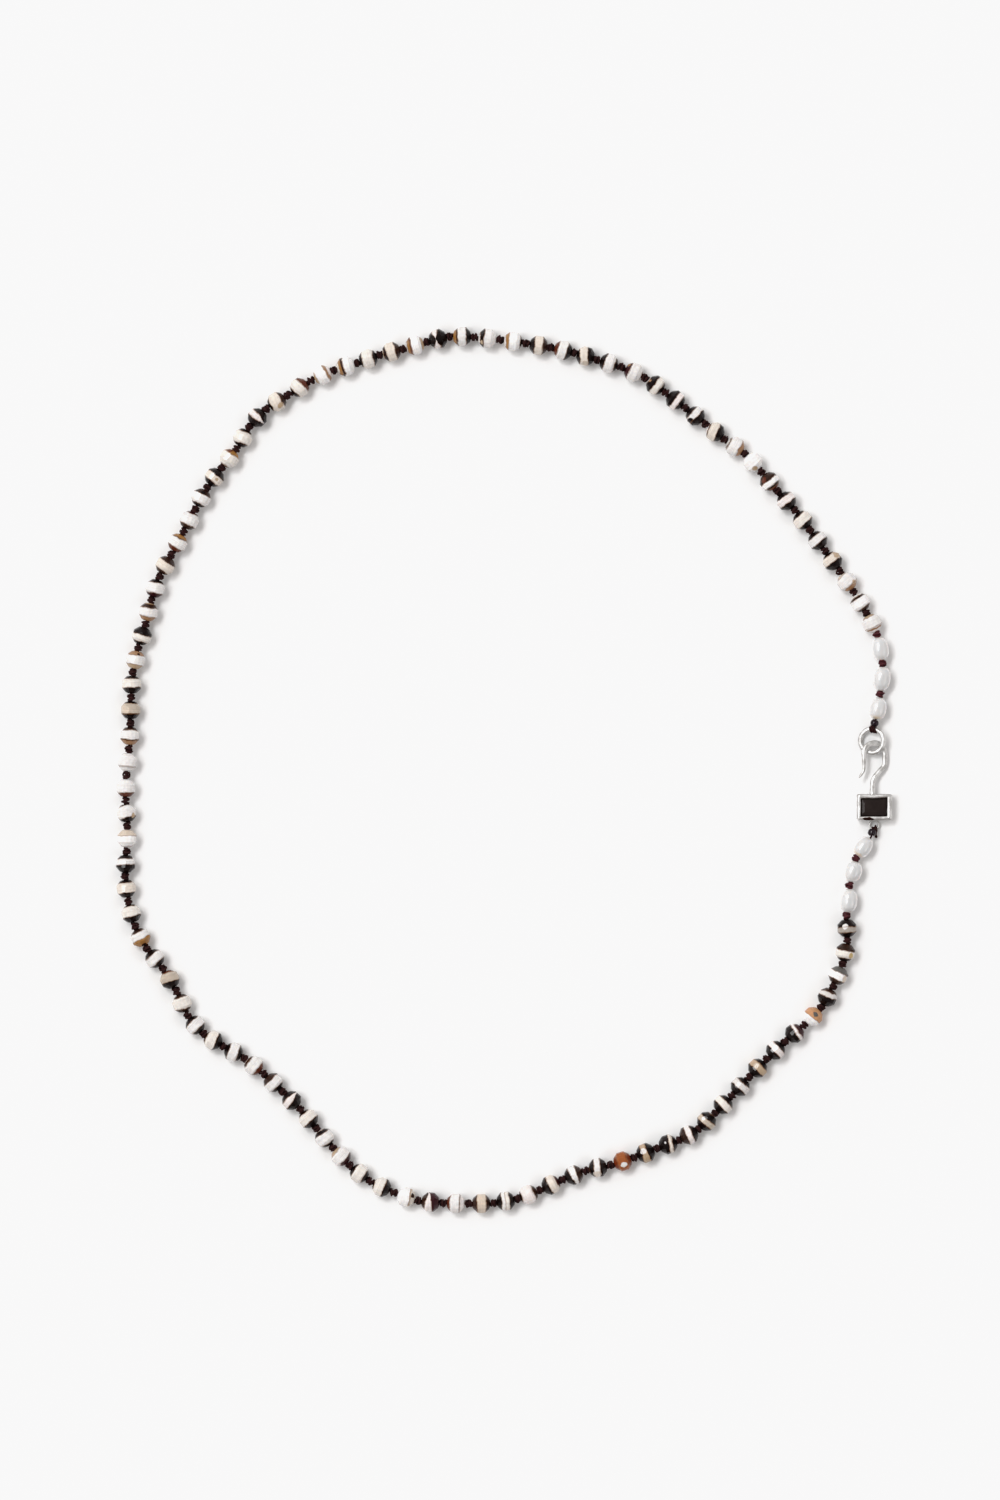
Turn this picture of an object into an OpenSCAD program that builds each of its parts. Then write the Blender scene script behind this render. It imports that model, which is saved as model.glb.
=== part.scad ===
// An agate necklace lying in its loop: banded agate beads and pearls, knotted one by one on a
// dark thread, and closed by a silver hook with a black stone that catches a ring.
// Everything rests on z = 0, and the origin is under the middle of the loop.

/* [Agate beads] */
// Diameter of a round agate bead
agate_d = 4.0; // [3.7:0.1:4.2]
// Length of an agate bead along its hole, between the flat ends
agate_l = 3.7; // [3.4:0.1:3.8]
// Diameter of the hole through an agate bead
agate_bore_d = 0.8; // [0.7:0.05:1.0]

/* [Pearls and spacers] */
// Diameter of the hole through a pearl
pearl_bore_d = 0.7; // [0.6:0.05:0.9]
// Diameter of a small black spacer bead
spacer_d = 1.75; // [1.6:0.05:1.8]
// Length of a spacer bead along its hole
spacer_l = 1.4; // [1.2:0.05:1.45]
// Diameter of the hole through a spacer bead
spacer_bore_d = 0.68; // [0.62:0.02:0.8]

/* [Thread] */
// Diameter of the thread
thread_d = 0.44; // [0.36:0.02:0.5]
// Diameter of a full knot
knot_d = 1.5; // [1.3:0.05:1.6]
// Length of a full knot along the thread
knot_l = 1.36; // [1.2:0.02:1.4]
// Gap left between a knot and the beads on both sides of it
knot_gap = 0.06; // [0.04:0.01:0.15]

/* [Ring] */
// Outer diameter of the ring that the hook catches
ring_d = 6.0; // [5.9:0.1:6.1]
// Diameter of the ring's wire
ring_wire_d = 1.0; // [0.9:0.05:1.05]
// How far the ring leans: its right side lies on the hook's stem
ring_lean = 20; // [19:0.5:21]

/* [Hook] */
// Diameter of the hook's wire where it leaves the bezel
root_wire_d = 1.3; // [1.2:0.05:1.35]
// Diameter of the hook's wire from the stem to the bend
hook_wire_d = 1.05; // [0.95:0.05:1.1]
// Radius of the bend, at the middle of the wire
bend_r = 2.3; // [2.25:0.05:2.35]
// How far the hook leans: its leg lies on the ring
hook_lean = 16; // [15.5:0.5:17]

/* [Bezel and stone] */
// Length of the bezel, across the necklace
bezel_l = 7.1; // [6.9:0.1:7.3]
// Width of the bezel, along the necklace
bezel_w = 5.5; // [5.3:0.1:5.7]
// Height of the bezel
bezel_h = 2.8; // [2.7:0.1:3.0]
// Length of the stone at its girdle
stone_l = 5.8; // [5.6:0.1:5.9]
// Width of the stone at its girdle
stone_w = 3.95; // [3.8:0.05:4.05]

/* [Hidden] */
$fn = 48;

// The route of the agate run, as the places of some of its 91 beads.
// Columns: number of the bead, counted from the ring, then x and y.
route = [
    [1, 77, 31],
    [2, 75, 35.5],
    [7, 59.5, 57],
    [8, 55.5, 60.5],
    [9, 52.5, 65.5],
    [10, 48.5, 68],
    [13, 36, 78],
    [15, 27.5, 84],
    [16, 21.75, 85.75],
    [18, 12.5, 88.5],
    [21, -3.5, 91],
    [23, -14, 91.25],
    [24, -18.5, 89],
    [25, -23.75, 88.5],
    [26, -28.5, 86.5],
    [28, -38, 83.5],
    [29, -43, 80.5],
    [31, -52, 74.5],
    [33, -57.5, 65.5],
    [34, -61, 62],
    [37, -68.5, 48],
    [39, -73.5, 38.5],
    [40, -74.5, 33.5],
    [42, -77.5, 23.5],
    [43, -78.25, 18.25],
    [45, -78.5, 7.5],
    [47, -79.5, -3.5],
    [49, -79, -14],
    [50, -79.5, -19.5],
    [51, -79.5, -24.5],
    [53, -76.5, -35],
    [55, -70, -43.5],
    [57, -65, -53.5],
    [60, -52.5, -61.5],
    [61, -48.5, -65.5],
    [62, -44.5, -69],
    [66, -30.5, -84.5],
    [68, -20.5, -89.5],
    [69, -15.5, -90.5],
    [72, 0.5, -90.5],
    [73, 5, -88.75],
    [74, 10, -87],
    [75, 14.5, -84.5],
    [77, 25, -82],
    [78, 29.75, -80],
    [80, 39, -76.5],
    [81, 42.5, -73.5],
    [82, 46, -70],
    [85, 57, -58.5],
    [87, 65, -51.5],
    [88, 68, -47.5],
    [90, 72, -38],
    [91, 72, -33]
];

// The knots at the ring's end of the string, from the tie on the ring to the first agate bead.
// Columns: x, y, z of the middle of the knot, then 1 for a tied knot or 0 for a plain bend.
ring_run = [
    [78.1, 10.8, 1.98, 0],
    [79, 16.2, 1.95, 1],
    [79.6, 22.7, 1.97, 1],
    [78.4, 28.9, 2, 1]
];

// The same at the stone's end, from the last agate bead to the tie on the bezel's loop.
stone_run = [
    [71.9, -30.3, 2, 1],
    [72.5, -23.9, 1.97, 1],
    [73.8, -18.1, 1.95, 1],
    [77.15, -13.75, 1.95, 0],
    [77.4, -11.85, 1.95, 0]
];

agate_count = route[len(route) - 1][0];
first_agate = len(ring_run);
after_agates = first_agate + agate_count;

// The pearls in the order of the string.
// Columns: number of the knot before it, length, diameter, taper towards the ring, the part of
// the way from that knot to the next at which its middle lies, and how far its body sits to the
// right of its hole.
pearls = [
    [1, 4.6, 3.7, 0.04, 0.455, 0],
    [2, 5.0, 3.75, -0.05, 0.5, 0],
    [3, 4.8, 3.55, 0.05, 0.5, 0],
    [after_agates, 4.9, 3.6, 0.03, 0.5, 0.2],
    [after_agates + 1, 4.4, 3.75, -0.04, 0.5, 0.15],
    [after_agates + 2, 4.5, 3.6, 0.06, 0.517, -0.1]
];

// The spacers in the same way.
// Columns: number of the knot before it, then the part of the way to the next.
spacers = [[0, 0.63], [after_agates + 3, 0.505]];

// The outline of a tied knot, with its two turns side by side.
// Columns: place from its middle in half lengths, then radius as a share of the knot's.
knot_form = [[-0.92, 0.72], [-0.5, 1.05], [0, 0.8], [0.5, 1.05], [0.92, 0.72]];

// The places and the smaller sizes of the ring and the clasp.
ring_at = [77.3, 6.45];
bezel_at = [77.7, -7.5];
bezel_corner_r = 0.35;
bezel_back = 0.5;
rim_wall = 0.75;
rim_lip = 0.35;
seat_z = 1.9;
seat_ledge = 0.3;
stone_gap = 0.05;
girdle_z = seat_z + 0.1;
root_x = -0.3;
root_z = 1.55;
root_sink = 0.3;
loop_r = 0.95;
loop_wire_d = 0.44;
loop_reach = 1.0;
loop_at = [0.1, -bezel_w / 2 - loop_reach];
loop_z = 0.66;

// The hook's wire from its root to its tip, stretch by stretch.
// Columns: turn in degrees, right if positive; radius of the bend, or the length of a straight
// stretch; diameter of the wire at its end; rings along it.
stem_turn = 42;
hook_form = [
    [0, 2.35, hook_wire_d, 3],
    [stem_turn, 2.7, hook_wire_d, 6],
    [0, 2.2, hook_wire_d, 2],
    [-stem_turn, 2.25, hook_wire_d, 5],
    [0, 1.43, hook_wire_d, 2],
    [-180, bend_r, hook_wire_d, 15],
    [0, 2.8, 0.72, 3],
    [38, 1.9, 0.62, 4],
    [0, 1.3, 0.2, 3]
];

// The ties at the thread's two ends, where it is wound round a wire as a flat band.
// Columns: half width of the band, its thickness, the turn round the wire in degrees.
ring_tie = [0.75, 0.4, 205];
loop_tie = [0.5, 0.28, 180];
tie_gap = 0.07;
tie_steps = 9;
tie_shift = 0.3;
tie_mouth = 0.35;
tail_end = [78.3, -13.7, 0.5];
tail_ball_d = 0.55;

bead_z = agate_d / 2;
ring_mid_r = (ring_d - ring_wire_d) / 2;
ring_z = ring_mid_r * sin(ring_lean) + ring_wire_d / 2;

// A smooth curve through the route's beads: which of its stretches bead k is on, the way it runs
// there, and where bead k lies, whole or not.
function stretch(k, i = 0) =
    i >= len(route) - 2 || route[i + 1][0] > k ? i : stretch(k, i + 1);
function spot(i) = [route[i][1], route[i][2]];
function heading(i) =
    let (a = max(i - 1, 0), b = min(i + 1, len(route) - 1))
    (spot(b) - spot(a)) / (route[b][0] - route[a][0]);
function place(k) =
    let (
        i = stretch(k),
        beads = route[i + 1][0] - route[i][0],
        t = (k - route[i][0]) / beads,
        s = t * t * (3 - 2 * t),
        bow = t * (1 - t) * (1 - t) * heading(i) - t * t * (1 - t) * heading(i + 1)
    )
    (1 - s) * spot(i) + s * spot(i + 1) + beads * bow;

function unit(v) = v / norm(v);

// The wire that each tie holds: its middle, and the way it runs there.
ring_turn = asin(tie_shift / cos(ring_lean) / ring_mid_r);
ring_wire_at = [
    ring_at.x + tie_shift,
    ring_at.y + ring_mid_r * cos(ring_turn),
    ring_z + tie_shift * tan(ring_lean)
];
ring_wire_way = [
    cos(ring_turn) * cos(ring_lean), -sin(ring_turn), cos(ring_turn) * sin(ring_lean)
];
loop_wire_at = concat(bezel_at + loop_at - [0, loop_r], [loop_z]);
loop_wire_way = [1, 0, 0];
ring_outwards = [0, 1, 0];

// A tie as stations of the sweep: it starts where the straight thread from point p meets the
// bend round the wire, and goes on over the wire's far side and under it.
// Columns of a station: point, way of the thread, side, half width, half thickness.
function tie(form, at, way, outwards, wire_d, p) =
    let (
        out = unit(outwards - (outwards * way) * way),
        side_up = cross(way, out),
        up = side_up.z > 0 ? side_up : -side_up,
        r = wire_d / 2 + tie_gap + form[1] / 2,
        l = (p - at) * out,
        h = (p - at) * up,
        start = atan2(h, l) + acos(r / norm([l, h]))
    )
    [for (i = [0 : tie_steps])
        let (a = start + form[2] * i / tie_steps)
        [
            at + r * (cos(a) * out + sin(a) * up), cos(a) * up - sin(a) * out, way,
            form[0], form[1] / 2 / cos(30)
        ]];
function turned_round(stations) =
    [for (i = [len(stations) - 1 : -1 : 0])
        let (s = stations[i])
        [s[0], -s[1], s[2], s[3], s[4]]];

first_tie = tie(
    ring_tie, ring_wire_at, ring_wire_way, ring_outwards, ring_wire_d,
    [ring_run[0].x, ring_run[0].y, ring_run[0].z]
);
last_row = stone_run[len(stone_run) - 1];
last_tie = tie(
    loop_tie, loop_wire_at, loop_wire_way, -ring_outwards, loop_wire_d,
    [last_row.x, last_row.y, last_row.z]
);

// Every knot of the string in its order: the thread runs straight from one to the next.
knots = concat(
    [concat(first_tie[0][0], [0])],
    ring_run,
    [for (k = [1 : agate_count - 1]) concat(place(k + 0.5), [bead_z, 1])],
    stone_run,
    [concat(last_tie[0][0], [0])]
);
last_knot = len(knots) - 1;
function knot_at(i) = [knots[i][0], knots[i][1], knots[i][2]];

// The length of what is strung between knot i and the next, and its place between the two.
function pearl_row(i) = [for (p = pearls) if (p[0] == i) p];
function spacer_row(i) = [for (s = spacers) if (s[0] == i) s];
function strung_l(i) =
    len(pearl_row(i)) > 0 ? pearl_row(i)[0][1] : len(spacer_row(i)) > 0 ? spacer_l : agate_l;
function strung_at(i) =
    len(pearl_row(i)) > 0 ? pearl_row(i)[0][4] : len(spacer_row(i)) > 0 ? spacer_row(i)[0][1] : 0.5;

// The free thread on both sides of knot i, and the share of a full knot that fits there.
function room_before(i) =
    norm(knot_at(i) - knot_at(i - 1)) * (1 - strung_at(i - 1)) - strung_l(i - 1) / 2;
function room_after(i) = norm(knot_at(i + 1) - knot_at(i)) * strung_at(i) - strung_l(i) / 2;
function knot_share(i) =
    min(1.1, (min(room_before(i), room_after(i)) - knot_gap) / (knot_l / 2));

// The middle of the whole loop, which the origin lies under.
agate_x = [for (k = [1 : agate_count]) place(k).x];
agate_y = [for (k = [1 : agate_count]) place(k).y];
bezel_right = bezel_at.x + bezel_l / 2;
middle = [
    (min(agate_x) - agate_d / 2 + bezel_right) / 2,
    (min(agate_y) + max(agate_y)) / 2,
    0
];

// Children stand with their z axis on the way from a to b, at a part of that way.
module along(a, b, part) {
    way = b - a;
    translate(a + part * way)
        rotate([0, acos(way.z / norm(way)), atan2(way.y, way.x)])
            children();
}

// Everything is drawn on the route's own numbers, and then moved to the middle of the loop.
module centred() {
    translate(-middle)
        children();
}

module agate_bead() {
    difference() {
        intersection() {
            sphere(d = agate_d);
            cylinder(d = 1.2 * agate_d, h = agate_l, center = true);
        }
        cylinder(d = agate_bore_d, h = 1.2 * agate_d, center = true);
    }
}

module agate_beads() {
    color("ivory")
        centred()
            for (i = [first_agate : first_agate + agate_count - 1])
                along(knot_at(i), knot_at(i + 1), 0.5)
                    agate_bead();
}

// The stations of knot i, and of the whole thread. A tied knot swells out of the thread and back.
function way_in(i) = unit(knot_at(i) - knot_at(i - 1));
function way_out(i) = unit(knot_at(i + 1) - knot_at(i));
function level_side(way) = unit([way.y, -way.x, 0]);
function round_station(p, way, r) = [p, way, level_side(way), r, r];
function knot_stations(i) =
    let (half = knot_share(i) * knot_l / 2, r = knot_share(i) * knot_d / 2)
    knots[i][3] == 0
        ? [round_station(knot_at(i), unit(way_in(i) + way_out(i)), thread_d / 2)]
        : concat(
            [round_station(knot_at(i) - half * way_in(i), way_in(i), thread_d / 2)],
            [for (row = knot_form)
                let (way = row[0] < 0 ? way_in(i) : row[0] > 0 ? way_out(i) : way_in(i) + way_out(i))
                round_station(knot_at(i) + row[0] * half * unit(way), unit(way), row[1] * r)],
            [round_station(knot_at(i) + half * way_out(i), way_out(i), thread_d / 2)]
        );

// The thread's tail leaves the last tie and ends in a small melted ball.
tail_start = last_tie[tie_steps][0];
tail_way = unit(tail_end - tail_start);
// Columns: part of the way from the tie to the ball, then radius.
tail_form = [
    [0.25, 0.5 * thread_d],
    [0.8, 0.35 * thread_d],
    [0.9, 0.5 * tail_ball_d],
    [1.05, 0.5 * tail_ball_d],
    [1.15, 0.2 * tail_ball_d]
];
tail = [for (row = tail_form)
    round_station(tail_start + row[0] * (tail_end - tail_start), tail_way, row[1])];

stations = concat(
    turned_round(first_tie),
    [round_station(knot_at(0) + tie_mouth * way_out(0), way_out(0), thread_d / 2)],
    [for (i = [1 : last_knot - 1]) each knot_stations(i)],
    last_tie,
    [for (s = tail) [s[0], s[1], loop_wire_way, s[3], s[4]]]
);

// A tube through the stations, closed at both ends.
module sweep(stations, sides) {
    points = [for (s = stations, i = [0 : sides - 1])
        let (a = 360 * i / sides)
        s[0] + s[3] * cos(a) * s[2] + s[4] * sin(a) * unit(cross(s[2], s[1]))];
    walls = [for (k = [0 : len(stations) - 2], i = [0 : sides - 1])
        let (a = sides * k + i, b = sides * k + (i + 1) % sides)
        each [[a, b + sides, a + sides], [a, b, b + sides]]];
    end = sides * (len(stations) - 1);
    caps = [[for (i = [sides - 1 : -1 : 0]) i], [for (i = [0 : sides - 1]) end + i]];
    polyhedron(points = points, faces = concat(walls, caps), convexity = 10);
}

module thread() {
    color("#3a1f24")
        centred()
            sweep(stations, 6);
}

// A pearl turned about its long axis: an egg with its ends cut flat at the hole.
module pearl(row) {
    l = row[1];
    d = row[2];
    bands = 14;
    full_l = 1.03 * l;
    profile = [for (i = [0 : bands])
        let (z = -l / 2 * cos(180 * i / bands))
        [d / 2 * pow(1 - pow(abs(2 * z / full_l), 2.3), 1 / 2.3) * (1 - row[3] * 2 * z / l), z]];
    a = knot_at(row[0]);
    b = knot_at(row[0] + 1);
    color("white")
        centred()
            difference() {
                translate([row[5], 0, 0])
                    along(a, b, row[4])
                        rotate_extrude()
                            polygon(concat([[0, -l / 2]], profile, [[0, l / 2]]));
                along(a, b, row[4])
                    cylinder(d = pearl_bore_d, h = 1.2 * l, center = true);
            }
}

module spacer(row) {
    color("#141216")
        centred()
            along(knot_at(row[0]), knot_at(row[0] + 1), row[1])
                difference() {
                    intersection() {
                        sphere(d = spacer_d);
                        cylinder(d = 1.2 * spacer_d, h = spacer_l, center = true);
                    }
                    cylinder(d = spacer_bore_d, h = 1.2 * spacer_d, center = true);
                }
}

module ring() {
    color("silver")
        centred()
            translate([ring_at.x, ring_at.y, ring_z])
                rotate([0, -ring_lean, 0])
                    rotate_extrude()
                        translate([ring_mid_r, 0])
                            circle(d = ring_wire_d);
}

// The wire as stations in the hook's own plane: it starts at point p with heading a and diameter
// d, and goes on through row i and the rows after it.
function hook_stations(p, a, d, i = 0) =
    i >= len(hook_form) ? [] :
    let (
        row = hook_form[i],
        turn = row[0],
        right = (turn < 0 ? -1 : 1) * row[1] * [sin(a), -cos(a), 0],
        stretch = [for (j = [1 : row[3]])
            let (part = j / row[3], b = a - turn * part)
            [
                turn == 0
                    ? p + part * row[1] * [cos(a), sin(a), 0]
                    : p + right - (turn < 0 ? -1 : 1) * row[1] * [sin(b), -cos(b), 0],
                [cos(b), sin(b), 0], [0, 0, 1],
                (d + (row[2] - d) * part) / 2, (d + (row[2] - d) * part) / 2
            ]]
    )
    concat(stretch, hook_stations(stretch[row[3] - 1][0], a - turn, row[2], i + 1));

module hook() {
    root = [[0, 0, 0], [0, 1, 0], [0, 0, 1], root_wire_d / 2, root_wire_d / 2];
    sweep(concat([root], hook_stations([0, 0, 0], 90, root_wire_d)), 12);
}

// A block with round corners, as a straight stretch along z.
module round_block(l, w, h, r) {
    corners = [[1, 1], [-1, 1], [-1, -1], [1, -1]];
    steps = 4;
    outline = [for (k = [0 : 3], i = [0 : steps])
        let (turn = 90 * (k + i / steps))
        [corners[k].x * (l / 2 - r) + r * cos(turn), corners[k].y * (w / 2 - r) + r * sin(turn)]];
    linear_extrude(height = h)
        polygon(outline);
}

// A box-shaped hollow, from height z upwards.
module hollow(l, w, z, h) {
    translate([-l / 2, -w / 2, z])
        cube([l, w, h]);
}

module bezel() {
    difference() {
        round_block(bezel_l, bezel_w, bezel_h, bezel_corner_r);
        hollow(stone_l - 2 * seat_ledge, stone_w - 2 * seat_ledge, bezel_back, bezel_h);
        hollow(stone_l + 2 * stone_gap, stone_w + 2 * stone_gap, seat_z, bezel_h - rim_lip - seat_z);
        hollow(bezel_l - 2 * rim_wall, bezel_w - 2 * rim_wall - 0.2, seat_z, bezel_h);
    }
}

module clasp() {
    color("silver")
        centred()
            translate([bezel_at.x, bezel_at.y, 0]) {
                bezel();
                translate([root_x, bezel_w / 2 - root_sink, root_z])
                    rotate([0, hook_lean, 0])
                        hook();
                translate([loop_at.x, loop_at.y, loop_z])
                    rotate_extrude()
                        translate([loop_r, 0])
                            circle(d = loop_wire_d);
            }
}

// The step-cut stone, as rings of eight corners from its keel up to its table.
// Columns: height above the girdle, then length, width and cut corner of the ring.
stone_steps = [
    [-1.25, 2.9, 0.5, 0.1],
    [-0.7, 4.2, 2.2, 0.15],
    [-0.05, stone_l - 2 * seat_ledge - 0.1, stone_w - 2 * seat_ledge - 0.1, 0.15],
    [-0.03, stone_l, stone_w, 0.15],
    [0.1, stone_l, stone_w, 0.15],
    [0.35, stone_l - 0.8, stone_w - 0.8, 0.15],
    [0.5, stone_l - 1.9, stone_w - 1.9, 0.1]
];

function step_ring(row) =
    let (z = row[0], x = row[1] / 2, y = row[2] / 2, c = row[3])
    [
        [x, y - c, z], [x - c, y, z], [-x + c, y, z], [-x, y - c, z],
        [-x, -y + c, z], [-x + c, -y, z], [x - c, -y, z], [x, -y + c, z]
    ];

module stone() {
    rings = len(stone_steps);
    points = [for (row = stone_steps) each step_ring(row)];
    sides = [for (k = [0 : rings - 2], i = [0 : 7])
        let (j = (i + 1) % 8)
        [8 * k + i, 8 * (k + 1) + i, 8 * (k + 1) + j, 8 * k + j]];
    keel = [for (i = [0 : 7]) i];
    table = [for (i = [7 : -1 : 0]) 8 * (rings - 1) + i];
    color("#121114")
        centred()
            translate([bezel_at.x, bezel_at.y, girdle_z])
                polyhedron(points = points, faces = concat(sides, [keel, table]), convexity = 2);
}

agate_beads();
thread();
pearl(pearls[0]);  // pearl_1
pearl(pearls[1]);  // pearl_2
pearl(pearls[2]);  // pearl_3
pearl(pearls[3]);  // pearl_4
pearl(pearls[4]);  // pearl_5
pearl(pearls[5]);  // pearl_6
spacer(spacers[0]);  // spacer_1
spacer(spacers[1]);  // spacer_2
ring();
clasp();
stone();
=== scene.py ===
import math

import bmesh
import bpy
from mathutils import Matrix, Vector, noise


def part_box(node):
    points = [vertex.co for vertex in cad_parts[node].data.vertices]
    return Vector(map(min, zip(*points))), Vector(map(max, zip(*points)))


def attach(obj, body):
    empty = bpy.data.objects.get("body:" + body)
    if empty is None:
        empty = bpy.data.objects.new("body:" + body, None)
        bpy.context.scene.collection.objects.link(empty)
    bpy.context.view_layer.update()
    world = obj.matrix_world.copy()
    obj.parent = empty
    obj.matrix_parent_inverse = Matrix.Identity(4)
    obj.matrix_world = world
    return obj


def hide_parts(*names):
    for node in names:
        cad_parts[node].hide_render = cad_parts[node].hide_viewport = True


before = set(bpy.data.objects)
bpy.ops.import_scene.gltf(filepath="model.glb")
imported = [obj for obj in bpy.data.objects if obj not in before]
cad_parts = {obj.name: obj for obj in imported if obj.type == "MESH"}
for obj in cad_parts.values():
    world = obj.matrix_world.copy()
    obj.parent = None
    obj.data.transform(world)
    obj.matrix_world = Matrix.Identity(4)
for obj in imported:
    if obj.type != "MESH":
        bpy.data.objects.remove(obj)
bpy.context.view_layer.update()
mm = 0.001

# The string. It carries a small black bead, three pearls, 91 agate beads, three more pearls and
# another small black bead, in this order from the ring to the stone. Each seat is read from the
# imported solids: its middle, the way of its hole towards the stone, its length and its diameter.
weld_gap = 0.001 * mm
flat_end = 0.9995


def level_side(way):
    return Vector((0, 0, 1)).cross(way).normalized()


def seat_of(solid):
    flats = {}
    for face in solid:
        key = tuple(round(c, 2) for c in face.normal)
        flats[key] = flats.get(key, 0) + face.calc_area()
    way = Vector(max(flats, key=flats.get)).normalized()
    ends = [face for face in solid if abs(face.normal.dot(way)) > flat_end]
    way = sum((face.normal * face.calc_area() * (1 if face.normal.dot(way) > 0 else -1)
               for face in ends), Vector()).normalized()
    side = level_side(way)
    up = way.cross(side)
    corners = [v.co for face in solid for v in face.verts]
    middle = Vector()
    sizes = []
    for axis in (way, side, up):
        reach = [axis.dot(co) for co in corners]
        middle += axis * (min(reach) + max(reach)) / 2
        sizes.append(max(reach) - min(reach))
    return {"at": middle, "way": way, "length": sizes[0], "wide": max(sizes[1:])}


def seats_of(node):
    form = bmesh.new()
    form.from_mesh(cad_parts[node].data)
    bmesh.ops.remove_doubles(form, verts=form.verts, dist=weld_gap)
    waiting = dict.fromkeys(form.faces)
    seats = []
    while waiting:
        solid = [waiting.popitem()[0]]
        for face in solid:
            for edge in face.edges:
                for other in edge.link_faces:
                    if other in waiting:
                        del waiting[other]
                        solid.append(other)
        seats.append(seat_of(solid))
    form.free()
    return seats


def nearest(seats, point):
    return min(seats, key=lambda seat: (seat["at"] - point).length)


first_strung = [seats_of(node)[0] for node in ("spacer_1", "pearl_1", "pearl_2", "pearl_3")]
last_strung = [seats_of(node)[0] for node in ("pearl_4", "pearl_5", "pearl_6", "spacer_2")]
loose = seats_of("agate_beads")
agates = [nearest(loose, first_strung[-1]["at"])]
while len(agates) < len(loose):
    agates.append(nearest([s for s in loose if s not in agates], agates[-1]["at"]))
strung = first_strung + agates + last_strung
for seat, after in zip(strung, strung[1:] + [None]):
    onward = after["at"] - seat["at"] if after else seat["at"] - strung[-2]["at"]
    if seat["way"].dot(onward) < 0:
        seat["way"] = -seat["way"]


def place_of(seat):
    way = seat["way"]
    side = level_side(way)
    turned = Matrix((way, side, way.cross(side))).transposed().to_4x4()
    return Matrix.Translation(seat["at"]) @ turned


# The agate beads. Each is a 4 mm ball of banded agate, cut by hand into 64 flat facets and
# polished, and drilled across its layers: a pale layer lies across the hole between dark or
# honey-coloured ends, and no two beads are alike.
agate_r = agates[0]["wide"] / 2
agate_l = agates[0]["length"]
agate_hole_r = 0.36 * mm
agate_cuts = 4
# Facets by rows. Columns: latitude in degrees, how many, and their shift in facets.
facet_rows = [(0, 16, 0.0), (42, 16, 0.5), (-42, 16, 0.5), (66, 8, 0.0), (-66, 8, 0.0)]
facet_depth = 0.982
# How far a facet strays: round the hole in radians, in latitude in degrees, and in depth as a
# share of the bead's radius.
stray_turn = 0.05
stray_latitude = 2.5
stray_depth = 0.008


def cut_bead(number):
    form = bmesh.new()
    bmesh.ops.create_cube(form, size=3 * agate_r)
    planes = [(Vector((end, 0, 0)), agate_l / 2) for end in (1, -1)]
    for latitude, count, shift in facet_rows:
        for i in range(count):
            chance = noise.random_unit_vector()
            turn = math.tau * (i + shift) / count + stray_turn * chance.x
            lean = math.radians(latitude + stray_latitude * chance.y)
            normal = Vector((math.sin(lean), math.cos(lean) * math.cos(turn),
                             math.cos(lean) * math.sin(turn)))
            planes.append((normal, agate_r * (facet_depth + stray_depth * chance.z)))
    for normal, reach in planes:
        bmesh.ops.bisect_plane(form, geom=form.verts[:] + form.edges[:] + form.faces[:],
                               dist=1e-7, plane_co=normal * reach, plane_no=normal,
                               clear_outer=True)
        open_edges = [edge for edge in form.edges if edge.is_boundary]
        bmesh.ops.holes_fill(form, edges=open_edges, sides=0)
    bmesh.ops.remove_doubles(form, verts=form.verts, dist=0.01 * mm)
    rims = []
    for end in (1, -1):
        face = max(form.faces, key=lambda f: end * f.normal.x * f.calc_area())
        inset = math.sqrt(face.calc_area() / math.pi) - agate_hole_r
        bmesh.ops.inset_region(form, faces=[face], thickness=inset, use_even_offset=True)
        rims += face.edges[:]
        bmesh.ops.delete(form, geom=[face], context="FACES_ONLY")
    bmesh.ops.bridge_loops(form, edges=rims)
    bmesh.ops.recalc_face_normals(form, faces=form.faces)
    mesh = bpy.data.meshes.new("cut_bead_%d" % number)
    form.to_mesh(mesh)
    form.free()
    return mesh


noise.seed_set(7)
bead_cuts = [cut_bead(i) for i in range(agate_cuts)]

# The agate's tones, as a cutter would name them.
tones = {
    "white": (0.745, 0.728, 0.718), "milk": (0.82, 0.808, 0.803), "shell": (0.765, 0.715, 0.70),
    "pearly": (0.66, 0.635, 0.62), "ivory": (0.735, 0.698, 0.655), "cream": (0.70, 0.64, 0.575),
    "sand": (0.63, 0.54, 0.45), "beige": (0.51, 0.435, 0.355), "tan": (0.46, 0.335, 0.225),
    "honey": (0.50, 0.36, 0.18), "peach": (0.52, 0.27, 0.14), "amber": (0.31, 0.155, 0.055),
    "clay": (0.33, 0.19, 0.11), "copper": (0.30, 0.088, 0.028), "sienna": (0.15, 0.036, 0.013),
    "rust": (0.105, 0.032, 0.018), "umber": (0.033, 0.015, 0.010), "wine": (0.036, 0.009, 0.012),
    "olive": (0.030, 0.020, 0.010), "smoke": (0.11, 0.105, 0.10), "stone": (0.38, 0.335, 0.295),
    "black": (0.008, 0.003, 0.0028),
}

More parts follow.
